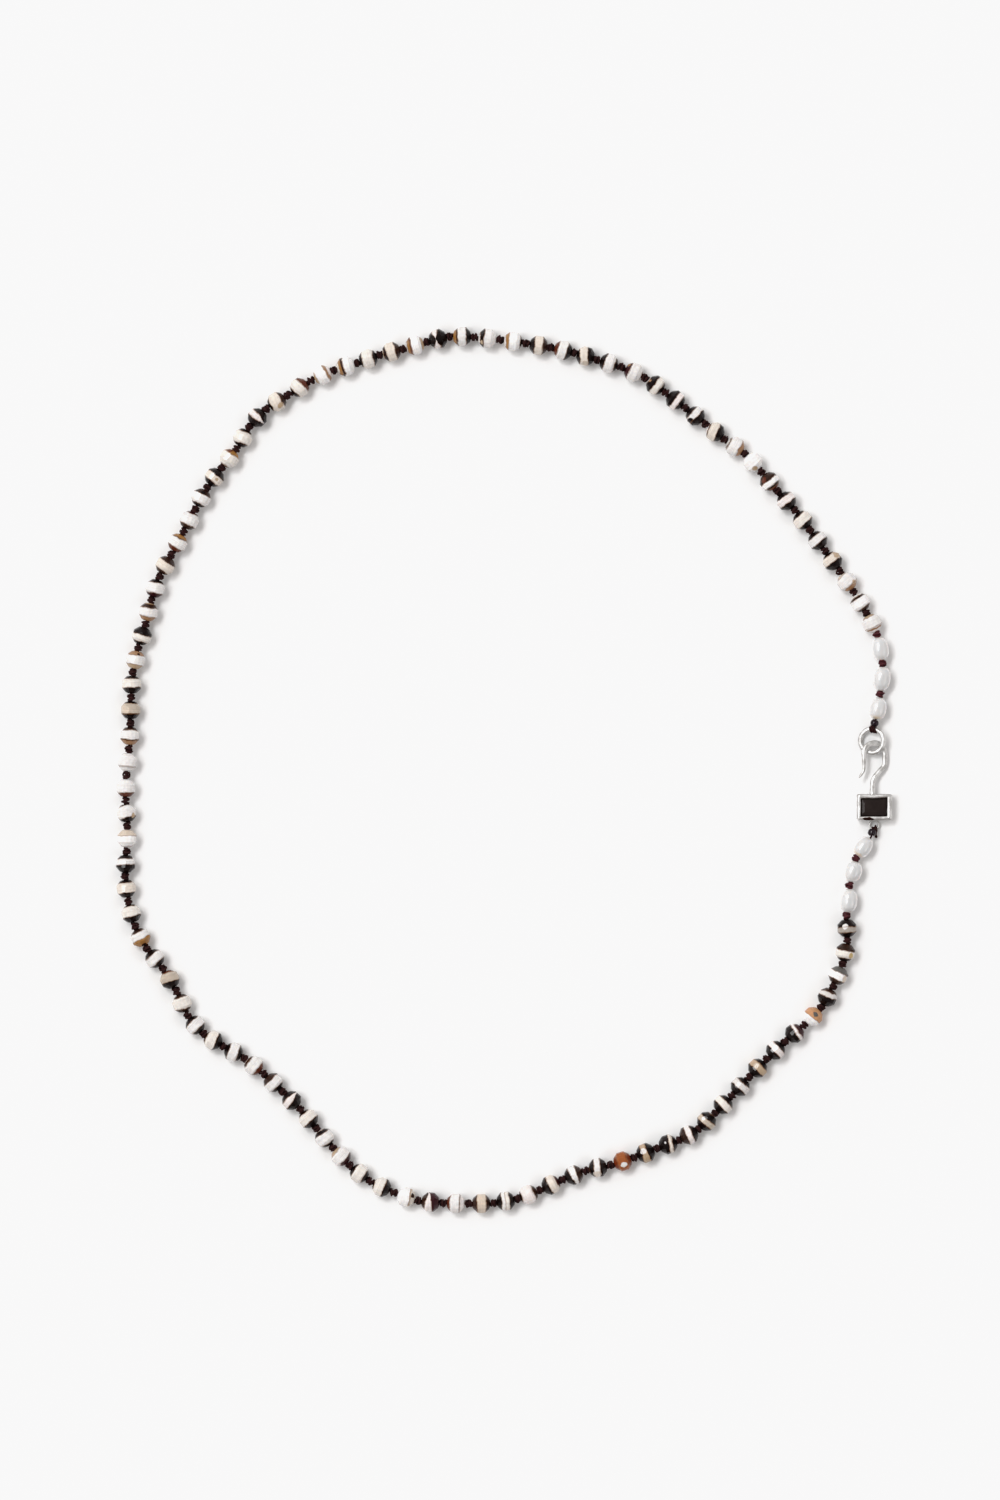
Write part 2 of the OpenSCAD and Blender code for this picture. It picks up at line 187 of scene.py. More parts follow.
# The beads as they follow each other from the ring. Columns: the layers along the hole, with the
# places of the borders between them in radii; how far the layers slant; how much the middle
# layer swells halfway (or thins, if negative); how much it narrows to the left; and a patch on
# top, as its tone, its place along and across the hole, and its radius.
agate_chart = [
    ("shell -0.66 amber -0.54 shell -0.40 white 0.72 tan", -0.05),
    ("umber -0.62 milk 0.50 black 0.72 white", 0.05),
    ("clay -0.52 white 0.80 sand", 0.20, 0, 0, ("tan", -0.45, -0.55, 0.3)),
    ("black -0.10 cream 0.72 black", 0.05, 0, 0, ("tan", 0.35, -0.75, 0.5)),
    ("black -0.26 white 0.55 black", 0.08),
    ("black -0.42 ivory 0.60 black", 0.12),
    ("black -0.25 shell 0.50 black", -0.13),
    ("rust -0.72 black -0.50 milk 0.12 umber", -0.03, 0, 0, ("rust", 0.5, 0.4, 0.35)),
    ("milk", 0, 0, 0, ("tan", -0.66, 0.3, 0.38)),
    ("clay -0.50 white 0.68 smoke 0.80 milk", 0.12),
    ("black -0.20 cream 0.72 black 0.84 shell", 0.30),
    ("black -0.15 white 0.50 black", -0.05, 0, 0, ("black", 0.1, 0.8, 0.45)),
    ("black -0.50 shell 0.12 black", 0),
    ("black -0.60 ivory 0.14 black 0.88 shell", -0.05, 0, 0, ("clay", 0.75, 0.0, 0.2)),
    ("rust -0.86 white 0.44 wine", 0.05, 0, 0, ("amber", 0.75, -0.5, 0.3)),
    ("black -0.62 white 0.42 black", -0.10),
    ("black -0.26 cream 0.60 black", 0.32, 0, 0, ("beige", -0.2, 0.75, 0.4)),
    ("black -0.38 white 0.55 rust", -0.12),
    ("umber -0.45 cream 0.42 black", 0.08),
    ("black -0.75 milk 0.42 amber 0.72 shell", 0.05),
    ("white 0.34 black 0.78 white", 0, 0, 0, ("tan", 0.55, 0.55, 0.3)),
    ("black -0.40 white 0.46 black 0.62 amber", 0.08),
    ("black 0.08 shell 0.42 black", 0, -2.4),
    ("tan -0.64 milk 0.36 rust 0.55 amber 0.80 shell", -0.05),
    ("umber -0.42 cream 0.55 black 0.85 sand", 0.08),
    ("black -0.55 ivory 0.66 black", -0.18),
    ("milk 0.20 umber 0.48 amber 0.74 cream", -0.05),
    ("shell -0.62 clay -0.40 milk 0.74 tan", 0.10),
    ("rust -0.42 ivory 0.66 black", 0.24),
    ("umber -0.50 cream 0.66 black", -0.05, 0, 0, ("tan", -0.15, 0.6, 0.35)),
    ("black -0.26 shell 0.20 black", 0, 0.6, 0.7),
    ("black -0.66 ivory 0.58 black", 0.12),
    ("amber -0.50 ivory 0.82 rust", 0.08, 0, 0, ("rust", -0.7, -0.5, 0.35)),
    ("black -0.28 cream 0.50 black", 0, 0, 0, ("tan", 0.05, 0.4, 0.25)),
    ("umber -0.38 white 0.62 black", 0.05, 0, 0, ("black", -0.55, -0.1, 0.3)),
    ("wine -0.75 white 0.50 umber", 0.05),
    ("amber -0.56 umber -0.48 white 0.50 rust", 0),
    ("umber -0.34 cream 0.60 umber", -0.10),
    ("black -0.60 white 0.50 wine", 0.13),
    ("tan -0.80 umber -0.42 white 0.50 clay", 0.05),
    ("black -0.10 ivory 0.60 black", 0.03),
    ("clay -0.48 white 0.50 tan", 0.05, 0, 0, ("umber", -0.62, 0.25, 0.22)),
    ("black -0.64 ivory 0.30 black", 0.08),
    ("black -0.68 beige 0.34 olive 0.44 black", 0, 0, 0, ("sand", -0.1, -0.6, 0.5)),
    ("umber -0.58 white 0.32 umber 0.46 clay", 0),
    ("white 0.46 pearly 0.54 white", 0),
    ("white 0.48 rust", 0.02),
    ("black -0.82 white 0.45 black", 0.20, 0, 0, ("tan", 0.3, 0.7, 0.28)),
    ("sand -0.30 milk 0.80 shell", 0),
    ("black -0.55 white 0.08 black", 0.12),
    ("black -0.62 cream 0.44 black", 0),
    ("black -0.75 ivory 0.30 black", 0),
    ("umber -0.62 white 0.16 amber", 0, 0, 0, ("umber", 0.85, 0.0, 0.35)),
    ("black -0.46 white 0.50 black", 0),
    ("rust -0.78 beige 0.20 black", -0.28),
    ("umber -0.64 ivory 0.54 umber", -0.12),
    ("black -0.50 white 0.50 black", 0.05),
    ("umber -0.72 ivory 0.30 black", 0.12),
    ("black -0.50 white 0.50 black", 0.20),
    ("shell -0.86 umber -0.62 white 0.50 rust", 0),
    ("umber -0.38 white 0.60 black", -0.05),
    ("black -0.45 shell 0.08 black", 0.08, 0.5, 0.5),
    ("black -0.72 ivory 0.30 black", 0),
    ("shell -0.88 black -0.50 white 0.66 black", -0.13),
    ("tan -0.70 white 0.50 wine", 0.15),
    ("black -0.60 ivory 0.55 black", 0.10),
    ("black -0.82 ivory 0.20 black", 0.03),
    ("milk 0.36 tan 0.46 cream", 0.15, 0, 0, ("umber", 0.6, 0.45, 0.35)),
    ("umber -0.48 shell 0.06 wine", 0, 0.3, 0.7),
    ("rust -0.58 white 0.38 smoke 0.45 shell", 0),
    ("umber -0.44 sand 0.50 umber", 0),
    ("black -0.42 white 0.00 ivory 0.40 black", -0.05),
    ("black -0.74 shell 0.60 umber", 0),
    ("black -0.18 cream 0.66 wine", 0.05),
    ("black -0.26 white 0.32 umber", 0.08, 0, -0.5),
    ("smoke -0.90 black -0.42 white 0.20 black", -0.12, 0, 0, ("cream", -0.2, -0.6, 0.45)),
    ("sienna -0.55 copper 0.55 sienna", 0, 0, 0, ("white", 0.05, -0.30, 0.36)),
    ("black -0.40 tan 0.20 black", 0, 0, 0, ("white", -0.10, 0.35, 0.34)),
    ("black 0.12 cream 0.50 black", -0.15, 0, 0, ("white", -0.22, 0.3, 0.17)),
    ("umber -0.24 shell 0.36 black", -0.15),
    ("black -0.32 beige 0.24 black 0.90 shell", 0.12, 0, 0, ("white", 0.0, 0.5, 0.3)),
    ("black -0.28 ivory 0.44 black", -0.03),
    ("black -0.20 pearly 0.46 black", 0.04),
    ("black -0.20 tan 0.44 black", 0, 0, 0, ("beige", 0.1, 0.4, 0.3)),
    ("black -0.20 shell 0.46 black", -0.03),
    ("black 0.10 shell 0.45 wine", -0.10),
    ("milk -0.12 peach", 0.05, 0, 0, ("smoke", 0.35, 0.0, 0.34)),
    ("black 0.08 pearly 0.55 umber", 0.15),
    ("umber -0.45 milk 0.34 smoke", -0.05, 0, 0, ("sand", -0.1, -0.8, 0.42)),
    ("black -0.62 ivory 0.20 umber", 0, 0, 0, ("honey", -0.2, -0.65, 0.35)),
    ("black -0.40 stone 0.12 black", 0.03, 0, 0, ("white", 0.20, 0.25, 0.3)),
]
most_layers = 5
unused_border = 3.0
no_patch = ("white", 0, 0, -1)


def chart_values(row):
    words = row[0].split()
    colours = [tones[word] for word in words[0::2]]
    borders = [float(word) for word in words[1::2]]
    lean = list(row[1:4]) + [0] * (4 - len(row[:4]))
    middle = (borders[0] + borders[-1]) / 2 if borders else 0
    patch = row[4] if len(row) > 4 else no_patch
    along, across = patch[1], patch[2]
    height = math.sqrt(max(0, 1 - along ** 2 - across ** 2))
    values = {
        "borders": borders + [unused_border] * (most_layers - 1 - len(borders)),
        "lean": (*lean, middle),
        "patch_at": (along, across, height, patch[3]),
        "patch_tone": (*tones[patch[0]], 1),
    }
    colours += [colours[-1]] * (most_layers - len(colours))
    for i, colour in enumerate(colours):
        values["layer_%d" % (i + 1)] = (*colour, 1)
    return values


def add_object(name, data):
    added = bpy.data.objects.new(name, data)
    bpy.context.scene.collection.objects.link(added)
    return added


def piece_of(form, name, smooth=True):
    mesh = bpy.data.meshes.new(name)
    form.to_mesh(mesh)
    form.free()
    for face in mesh.polygons:
        face.use_smooth = smooth
    return add_object(name, mesh)


# Each bead is turned on its hole, and drawn in its tone, by these steps from the bead before it.
spin_step = 2.4
chance_step = 0.618


def string_beads(name, first, seats, chart):
    form = bmesh.new()
    grain = form.verts.layers.float_vector.new("grain")
    chance = form.verts.layers.float.new("chance")
    layers = {key: form.verts.layers.float_color.new(key) for key in chart_values(chart[0])}
    for i, (seat, row) in enumerate(zip(seats, chart)):
        before = len(form.verts)
        form.from_mesh(bead_cuts[(first + i) % agate_cuts])
        form.verts.ensure_lookup_table()
        bead = form.verts[before:]
        spin = Matrix.Rotation(spin_step * (first + i), 4, "X")
        bmesh.ops.transform(form, matrix=spin, verts=bead)
        values = chart_values(row)
        for vert in bead:
            vert[grain] = vert.co / agate_r
            vert[chance] = (chance_step * (first + i)) % 1
            for key, layer in layers.items():
                vert[layer] = values[key]
        bmesh.ops.transform(form, matrix=place_of(seat), verts=bead)
    return piece_of(form, name, smooth=False)


def new_material(name):
    material = bpy.data.materials.new(name)
    material.use_nodes = True
    return material, material.node_tree.nodes["Principled BSDF"]


def set_inputs(material, node, inputs):
    for key, value in inputs.items():
        if isinstance(value, bpy.types.NodeSocket):
            material.node_tree.links.new(value, node.inputs[key])
        else:
            node.inputs[key].default_value = value


def add_node(material, kind, inputs=None, **settings):
    node = material.node_tree.nodes.new("ShaderNode" + kind)
    for key, value in settings.items():
        setattr(node, key, value)
    set_inputs(material, node, inputs or {})
    return node


def sum_up(material, operation, a, b=0.0, c=0.0):
    return add_node(material, "Math", {0: a, 1: b, 2: c}, operation=operation).outputs[0]


def scaled(material, value, factor, shift):
    return sum_up(material, "MULTIPLY_ADD", value, factor, shift)


def step_up(material, value, low, high, start=0.0, end=1.0):
    node = add_node(material, "MapRange", {"Value": value, "From Min": low, "From Max": high,
                                           "To Min": start, "To Max": end},
                    interpolation_type="SMOOTHSTEP")
    return node.outputs["Result"]


def mix_tones(material, share, a, b):
    return add_node(material, "Mix", {0: share, 6: a, 7: b}, data_type="RGBA").outputs[2]


def cloud(material, scale, detail=3.0):
    place = add_node(material, "TexCoord").outputs["Object"]
    node = add_node(material, "TexNoise", {"Vector": place, "Scale": scale, "Detail": detail})
    return node.outputs[0]


def attribute(material, name):
    return add_node(material, "Attribute", attribute_name=name)


def apart(material, vector):
    return add_node(material, "SeparateXYZ", {0: vector}).outputs


def dull(material, surface, pattern, spread, base):
    set_inputs(material, surface, {"Roughness": scaled(material, pattern, spread, base)})


def bump(material, surface, height, strength, distance):
    node = add_node(material, "Bump", {"Height": height, "Strength": strength,
                                       "Distance": distance})
    set_inputs(material, surface, {"Normal": node.outputs[0]})


# The borders between layers, in radii: half the width of one, and where its brown seam fades.
border_half = 0.035
seam_fade = (0.02, 0.09)


def agate_material():
    material, surface = new_material("banded_agate")
    grain = attribute(material, "grain").outputs["Vector"]
    along, across, _ = apart(material, grain)
    lean_node = attribute(material, "lean")
    slant, swell, narrow = apart(material, lean_node.outputs["Vector"])
    middle = lean_node.outputs["Alpha"]
    wobble = sum_up(material, "SUBTRACT", cloud(material, 700, 2.0), 0.5)
    ripple = sum_up(material, "SUBTRACT", cloud(material, 3200), 0.5)
    place = scaled(material, across, slant, along)
    place = scaled(material, wobble, 0.34, place)
    place = scaled(material, ripple, 0.10, place)
    halfway = sum_up(material, "SUBTRACT", 0.5, sum_up(material, "ABSOLUTE", across))
    width = scaled(material, swell, halfway, 1.0)
    taper = sum_up(material, "MULTIPLY", narrow, across)
    width = sum_up(material, "MAXIMUM", sum_up(material, "SUBTRACT", width, taper), 0.05)
    place = sum_up(material, "SUBTRACT", place, middle)
    place = sum_up(material, "DIVIDE", place, width)
    place = sum_up(material, "ADD", place, middle)
    border_node = attribute(material, "borders")
    borders = list(apart(material, border_node.outputs["Vector"]))
    borders.append(border_node.outputs["Alpha"])
    colour = attribute(material, "layer_1").outputs["Color"]
    nearest_border = None
    for i, border in enumerate(borders):
        low = sum_up(material, "SUBTRACT", border, border_half)
        high = sum_up(material, "ADD", border, border_half)
        share = step_up(material, place, low, high)
        layer = attribute(material, "layer_%d" % (i + 2)).outputs["Color"]
        colour = mix_tones(material, share, colour, layer)
        away = sum_up(material, "ABSOLUTE", sum_up(material, "SUBTRACT", place, border))
        if nearest_border is not None:
            away = sum_up(material, "MINIMUM", away, nearest_border)
        nearest_border = away
    patch_node = attribute(material, "patch_at")
    offset = add_node(material, "VectorMath", {0: grain, 1: patch_node.outputs["Vector"]},
                      operation="DISTANCE")
    reach = scaled(material, wobble, 0.5, offset.outputs["Value"])
    inner = sum_up(material, "SUBTRACT", patch_node.outputs["Alpha"], 0.10)
    patched = sum_up(material, "SUBTRACT", 1.0,
                     step_up(material, reach, inner, patch_node.outputs["Alpha"]))
    patch_tone = attribute(material, "patch_tone").outputs["Color"]
    colour = mix_tones(material, patched, colour, patch_tone)
    chance = attribute(material, "chance").outputs["Fac"]
    line_place = scaled(material, place, 11.0, sum_up(material, "MULTIPLY", chance, 60.0))
    lines = add_node(material, "TexNoise", {"W": line_place, "Scale": 1.0, "Detail": 3.0},
                     noise_dimensions="1D").outputs[0]
    shade = sum_up(material, "MULTIPLY", scaled(material, lines, 0.42, 0.76),
                   scaled(material, cloud(material, 1500, 4.0), 0.4, 0.80))
    shaded = add_node(material, "VectorMath", {0: colour, 3: shade}, operation="SCALE")
    seam = sum_up(material, "SUBTRACT", 1.0, step_up(material, nearest_border, *seam_fade))
    seam = sum_up(material, "MULTIPLY", seam, 0.45)
    seamed = mix_tones(material, seam, shaded.outputs[0], (0.20, 0.10, 0.05, 1))
    dull(material, surface, cloud(material, 2600), 0.16, 0.09)
    bump(material, surface, cloud(material, 5200, 4.0), 0.12, 0.02 * mm)
    set_inputs(material, surface, {
        "Base Color": seamed, "Specular IOR Level": 0.30, "Subsurface Weight": 0.18,
        "Subsurface Radius": (1.0, 0.75, 0.55), "Subsurface Scale": 0.45 * mm})
    return material


banded_agate = agate_material()
agate_pieces = 7
run = len(agates) // agate_pieces
for number in range(agate_pieces):
    start = number * run
    beads = string_beads("agate_beads_%d" % (number + 1), start, agates[start:start + run],
                         agate_chart[start:start + run])
    beads.data.materials.append(banded_agate)
    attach(beads, "root")
    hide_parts("agate_beads")

# The pearls. Freshwater rice pearls with a satin skin, three of them drilled a little off their
# middle; the skin is warmer round the holes, and a painted rim light brightens it at the sides.
pearl_hole_r = 0.28 * mm
pearl_rings = 30
pearl_turns = 40
pearl_roundness = 2.3
pearl_overrun = 1.03
pearl_dimple = 0.97
# Growth lumps. Columns: size, and height as a share of the radius.
pearl_swells = (1.7 * mm, 0.022)
pearl_dents = (0.8 * mm, 0.008)
# Columns: taper towards the stone, how far the body sits to the right of its hole in mm, how
# uneven it is, where the unevenness is sampled, and how warm its lower end is.
pearl_forms = {
    "pearl_1": (-0.04, 0, 1.0, 3.1, 1.0), "pearl_2": (0.05, 0, 1.0, 8.4, 0.3),
    "pearl_3": (-0.05, 0, 1.2, 14.2, 0.2), "pearl_4": (-0.03, 0.2, 1.0, 21.7, 0.3),
    "pearl_5": (0.04, 0.15, 1.1, 27.3, 0.5), "pearl_6": (-0.06, -0.1, 0.9, 33.9, 1.0),
}


def closed_loop(form, points):
    verts = [form.verts.new(point) for point in points]
    return [form.edges.new((a, b)) for a, b in zip(verts, verts[1:] + verts[:1])]


def spun(form, axis, steps):
    bmesh.ops.spin(form, geom=form.verts[:] + form.edges[:], cent=(0, 0, 0), axis=axis,
                   angle=math.tau, steps=steps, use_merge=True)
    bmesh.ops.remove_doubles(form, verts=form.verts, dist=weld_gap)
    bmesh.ops.recalc_face_normals(form, faces=form.faces)
    return form


def turned_bead(profile, steps):
    form = bmesh.new()
    closed_loop(form, [(along, out, 0) for along, out in profile])
    return spun(form, (1, 0, 0), steps)


def pearl(name, seat, taper, belly, uneven, sample, warmth):
    half = seat["length"] / 2
    r = seat["wide"] / 2
    profile = [(-half * pearl_dimple, pearl_hole_r)]
    for i in range(1, pearl_rings):
        along = -math.cos(math.pi * i / pearl_rings)
        full = (1 - abs(along / pearl_overrun) ** pearl_roundness) ** (1 / pearl_roundness)
        profile.append((half * along, r * full * (1 + taper * along)))
    profile.append((half * pearl_dimple, pearl_hole_r))
    form = turned_bead(profile, pearl_turns)
    tip = form.verts.layers.float.new("tip")
    warm = form.verts.layers.float.new("warm")
    place = place_of(seat)
    right = place.to_3x3().inverted() @ Vector((1, 0, 0))
    for vert in form.verts:
        along = vert.co.x / half
        vert[tip] = abs(along)
        vert[warm] = warmth * max(0, -along)
        out = math.hypot(vert.co.y, vert.co.z)
        if out > 1.05 * pearl_hole_r:
            swell = noise.noise(vert.co / pearl_swells[0] + Vector((sample, 0, 0)))
            dent = noise.noise(vert.co / pearl_dents[0] + Vector((0, sample, 0)))
            share = 1 + pearl_swells[1] * uneven * swell + pearl_dents[1] * uneven * dent
            vert.co.y *= share
            vert.co.z *= share
        vert.co -= right * belly * mm * abs(along) ** 6
    bmesh.ops.transform(form, matrix=place, verts=form.verts)
    return piece_of(form, name + "_skin")


def pearl_material():
    material, surface = new_material("pearl_nacre")
    tip = attribute(material, "tip").outputs["Fac"]
    end = attribute(material, "warm").outputs["Fac"]
    patchy = cloud(material, 520)
    skin = mix_tones(material, step_up(material, cloud(material, 330, 2.0), 0.35, 0.65),
                     (0.635, 0.632, 0.63, 1), (0.60, 0.605, 0.61, 1))
    rim = step_up(material, scaled(material, patchy, 0.25, tip), 0.98, 1.2)
    skin = mix_tones(material, rim, skin, (0.74, 0.62, 0.50, 1))
    warm = step_up(material, scaled(material, patchy, 0.3, end), 0.75, 1.15)
    skin = mix_tones(material, warm, skin, (0.66, 0.50, 0.30, 1))
    # Painted rim light: the skin is drawn lighter where it turns away from the camera.
    facing = add_node(material, "LayerWeight", {"Blend": 0.35}).outputs["Facing"]
    skin_with_painted_rim_light = mix_tones(material, step_up(material, facing, 0.22, 0.72), skin, (0.95, 0.92, 0.91, 1))
    dull(material, surface, patchy, 0.14, 0.34)
    bump(material, surface, cloud(material, 1500, 4.0), 0.10, 0.05 * mm)
    set_inputs(material, surface, {
        "Base Color": skin_with_painted_rim_light, "IOR": 1.65, "Subsurface Weight": 0.6,
        "Subsurface Radius": (1.0, 0.85, 0.75), "Subsurface Scale": 1.1 * mm,
        "Coat Weight": 1.0, "Coat IOR": 1.75, "Coat Roughness": 0.19})
    return material


pearl_nacre = pearl_material()
pearl_seats = dict(zip(pearl_forms, first_strung[1:] + last_strung[:3]))
for name, traits in pearl_forms.items():
    skin = pearl(name, pearl_seats[name], *traits)
    skin.data.materials.append(pearl_nacre)
    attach(skin, "root")
    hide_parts(name)

# The small black beads. One bead of black glass with a purplish cast closes each end of the
# string against the silver; the one by the stone is a little uneven.
black_hole_r = 0.26 * mm
black_rings = 12
black_turns = 24
black_forms = {"spacer_1": (first_strung[0], 0.012), "spacer_2": (last_strung[3], 0.06)}


def black_bead(name, seat, uneven):
    half = seat["length"] / 2
    r = seat["wide"] / 2
    profile = [(-half, black_hole_r)]
    for i in range(black_rings + 1):
        along = half * (2 * i / black_rings - 1)
        out = math.sqrt(max(r * r - along ** 2, black_hole_r ** 2))
        profile.append((along, out + weld_gap))
    profile.append((half, black_hole_r))
    form = turned_bead(profile, black_turns)
    for vert in form.verts:
        out = math.hypot(vert.co.y, vert.co.z)
        if out > 1.3 * black_hole_r:
            vert.co *= 1 + uneven * noise.noise(vert.co / (0.55 * mm) + Vector((5.2, 1.3, 0)))
    bmesh.ops.transform(form, matrix=place_of(seat), verts=form.verts)
    return piece_of(form, name + "_glass")


def black_material():
    material, surface = new_material("black_glass")
    colour = mix_tones(material, cloud(material, 1400),
                       (0.006, 0.004, 0.005, 1), (0.022, 0.010, 0.018, 1))
    dull(material, surface, cloud(material, 3000), 0.20, 0.08)
    bump(material, surface, cloud(material, 2600), 0.30, 0.04 * mm)
    set_inputs(material, surface, {"Base Color": colour, "Specular IOR Level": 0.35})
    return material


black_glass = black_material()
for name, (seat, uneven) in black_forms.items():
    bead = black_bead(name, seat, uneven)
    bead.data.materials.append(black_glass)
    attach(bead, "root")
    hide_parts(name)

# The ring. Round silver wire bent to a ring and soldered, filed and polished by hand; it leans,
# because its right side lies on the hook's stem.
ring_low, ring_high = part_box("ring")
ring_middle = (ring_low + ring_high) / 2
ring_wire_r = 0.5 * mm
ring_filing = 0.86
ring_r = (ring_high.y - ring_low.y) / 2 - ring_wire_r
ring_lean = -math.asin((ring_high.z - ring_low.z - 2 * ring_wire_r) / (2 * ring_r))
ring_place = Matrix.Translation(ring_middle) @ Matrix.Rotation(ring_lean, 4, "Y")


def hand_worked(form, size, depth, sample):
    for vert in form.verts:
        push = noise.noise_vector(vert.co / size + Vector((sample, 0, 0)))
        vert.co += depth * push


def wire_ring(r, wire_r, sides, steps, filing=1.0):
    """A flat-lying ring of round wire; a filing below 1 makes the wire a little square."""
    form = bmesh.new()
    section = Matrix.Translation((r, 0, 0)) @ Matrix.Rotation(math.pi / 2, 4, "X")
    bmesh.ops.create_circle(form, segments=sides, radius=wire_r, matrix=section)
    for vert in form.verts:
        across, up = (vert.co.x - r) / wire_r, vert.co.z / wire_r
        vert.co.x = r + wire_r * math.copysign(abs(across) ** filing, across)
        vert.co.z = wire_r * math.copysign(abs(up) ** filing, up)
    return spun(form, (0, 0, 1), steps)


ring_form = wire_ring(ring_r, ring_wire_r, 24, 96, ring_filing)
hand_worked(ring_form, 2.2 * mm, 0.09 * mm, 4.0)
hand_worked(ring_form, 0.7 * mm, 0.018 * mm, 9.0)
bmesh.ops.transform(ring_form, matrix=ring_place, verts=ring_form.verts)
ring_piece = piece_of(ring_form, "ring_wire")


def silver_material():
    material, surface = new_material("hand_polished_silver")
    dusky = step_up(material, cloud(material, 900, 4.0), 0.38, 0.66)
    colour = mix_tones(material, dusky, (0.71, 0.705, 0.695, 1), (0.48, 0.47, 0.455, 1))
    corner = add_node(material, "NewGeometry").outputs["Pointiness"]
    tarnish = step_up(material, corner, 0.49, 0.40)
    colour = mix_tones(material, tarnish, colour, (0.30, 0.27, 0.25, 1))
    # Painted reflection: a dark brown patch on the lower edge of the bezel's rim.
    painted_reflection = scaled(material, cloud(material, 1500, 4.0), 0.9,
                   attribute(material, "painted_reflection").outputs["Fac"])
    painted_reflection_share = step_up(material, painted_reflection, 0.72, 0.88)
    colour = mix_tones(material, painted_reflection_share, colour, (0.040, 0.017, 0.012, 1))
    dull(material, surface, cloud(material, 1300, 4.0), 0.32, 0.30)
    dents = scaled(material, cloud(material, 3600, 2.0), 0.25, cloud(material, 1100, 2.0))
    bump(material, surface, dents, 0.55, 0.09 * mm)
    set_inputs(material, surface, {"Base Color": colour, "Metallic": 1.0})
    return material


silver = silver_material()
ring_piece.data.materials.append(silver)
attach(ring_piece, "root")
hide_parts("ring")

# The clasp. One soldered piece of silver: a box bezel whose rim is burnished over the stone, a
# hook of drawn wire hammered a little flat at its bend, and a small wire loop for the thread.
clasp_low, clasp_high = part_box("clasp")
bezel_l = 7.1 * mm
bezel_w = 5.5 * mm
loop_r = 0.95 * mm
loop_wire_r = 0.22 * mm
loop_reach = 1.0 * mm
loop_z = 0.66 * mm
bezel_at = Vector(((clasp_low.x + clasp_high.x) / 2,
                   clasp_low.y + loop_wire_r + loop_r + loop_reach + bezel_w / 2, 0))
loop_at = bezel_at + Vector((0.1 * mm, -bezel_w / 2 - loop_reach, loop_z))
# The bezel's outline from its back up over the rim and down into the seat.
# Columns: height, length, width and corner radius.
bezel_rings = [
    (0.00, 6.96, 5.36, 0.30), (0.05, 7.06, 5.46, 0.34), (0.16, 7.10, 5.50, 0.35),
    (1.00, 7.08, 5.48, 0.35), (1.90, 7.10, 5.50, 0.36), (2.30, 7.08, 5.48, 0.38),
    (2.52, 7.00, 5.40, 0.40), (2.68, 6.82, 5.22, 0.42), (2.78, 6.52, 4.92, 0.38),
    (2.80, 6.20, 4.56, 0.30), (2.77, 5.92, 4.22, 0.20), (2.68, 5.72, 3.94, 0.12),
    (2.56, 5.62, 3.82, 0.08), (2.46, 5.60, 3.80, 0.08), (2.44, 5.90, 4.05, 0.08),
    (1.90, 5.90, 4.05, 0.08), (1.90, 5.20, 3.35, 0.08), (0.50, 5.20, 3.35, 0.08),
]
side_points = 14
corner_points = 4


def corner_point(l, w, r, corner, quarters):
    across, along = ((1, 1), (-1, 1), (-1, -1), (1, -1))[corner % 4]
    turn = math.pi / 2 * quarters
    return Vector((across * (l / 2 - r) + r * math.cos(turn),
                   along * (w / 2 - r) + r * math.sin(turn), 0))


def box_outline(l, w, r):
    points = []
    for k in range(4):
        points += [corner_point(l, w, r, k, k + i / corner_points)
                   for i in range(corner_points + 1)]
        start, end = points[-1], corner_point(l, w, r, k + 1, k + 1)
        points += [start.lerp(end, i / side_points) for i in range(1, side_points)]
    return points


def bridged(form, loops):
    for a, b in zip(loops, loops[1:]):
        bmesh.ops.bridge_loops(form, edges=a + b)


# What handwork did to the bezel, in mm: its right end is drawn out, the upper edge of its window
# slants, and the rim is pushed in at the right. A painted brown reflection is on the lower edge.
end_drawn = 0.22
window_slant = 0.15
rim_push = 0.2
bezel_form = bmesh.new()
# A painted dark brown reflection on the rim's lower edge: where it sits and how far it spreads.
painted_reflection = bezel_form.verts.layers.float.new("painted_reflection")
painted_reflection_at = Vector((-1.35, -2.45, 2.7)) * mm
painted_reflection_size = (1.7 * mm, 0.6 * mm, 1.1 * mm)
loops = []
for z, l, w, r in bezel_rings:
    outline = box_outline(l * mm, w * mm, r * mm)
    loops.append(closed_loop(bezel_form, [p + Vector((0, 0, z * mm)) for p in outline]))
bridged(bezel_form, loops)
bmesh.ops.holes_fill(bezel_form, edges=loops[0], sides=0)
bmesh.ops.holes_fill(bezel_form, edges=loops[-1], sides=0)
bmesh.ops.recalc_face_normals(bezel_form, faces=bezel_form.faces)
for vert in bezel_form.verts:
    lift = min(1, vert.co.z / (1.2 * mm))
    push = noise.noise_vector(vert.co / (1.9 * mm) + Vector((2.0, 7.0, 0)))
    small = noise.noise_vector(vert.co / (0.6 * mm) + Vector((9.0, 3.0, 0)))
    move = lift * (0.11 * mm * push + 0.03 * mm * small)
    move.z = min(move.z, 0.02 * mm) * 0.6
    away = vert.co - painted_reflection_at
    vert[painted_reflection] = max(0, 1 - math.hypot(*(a / size for a, size in zip(away, painted_reflection_size))))
    right = max(0, vert.co.x / (bezel_l / 2))
    slant = vert.co.x / (bezel_l / 2) if abs(vert.co.y) < 2.2 * mm and vert.co.y > 0 else 0
    if 2.6 * mm < vert.co.x < 3.0 * mm and vert.co.z > 2.3 * mm:
        move.x -= rim_push * mm
    drawn = Vector((end_drawn * right ** 3 * lift, window_slant * slant * lift, 0))
    vert.co += move + drawn * mm
bmesh.ops.transform(bezel_form, matrix=Matrix.Translation(bezel_at), verts=bezel_form.verts)

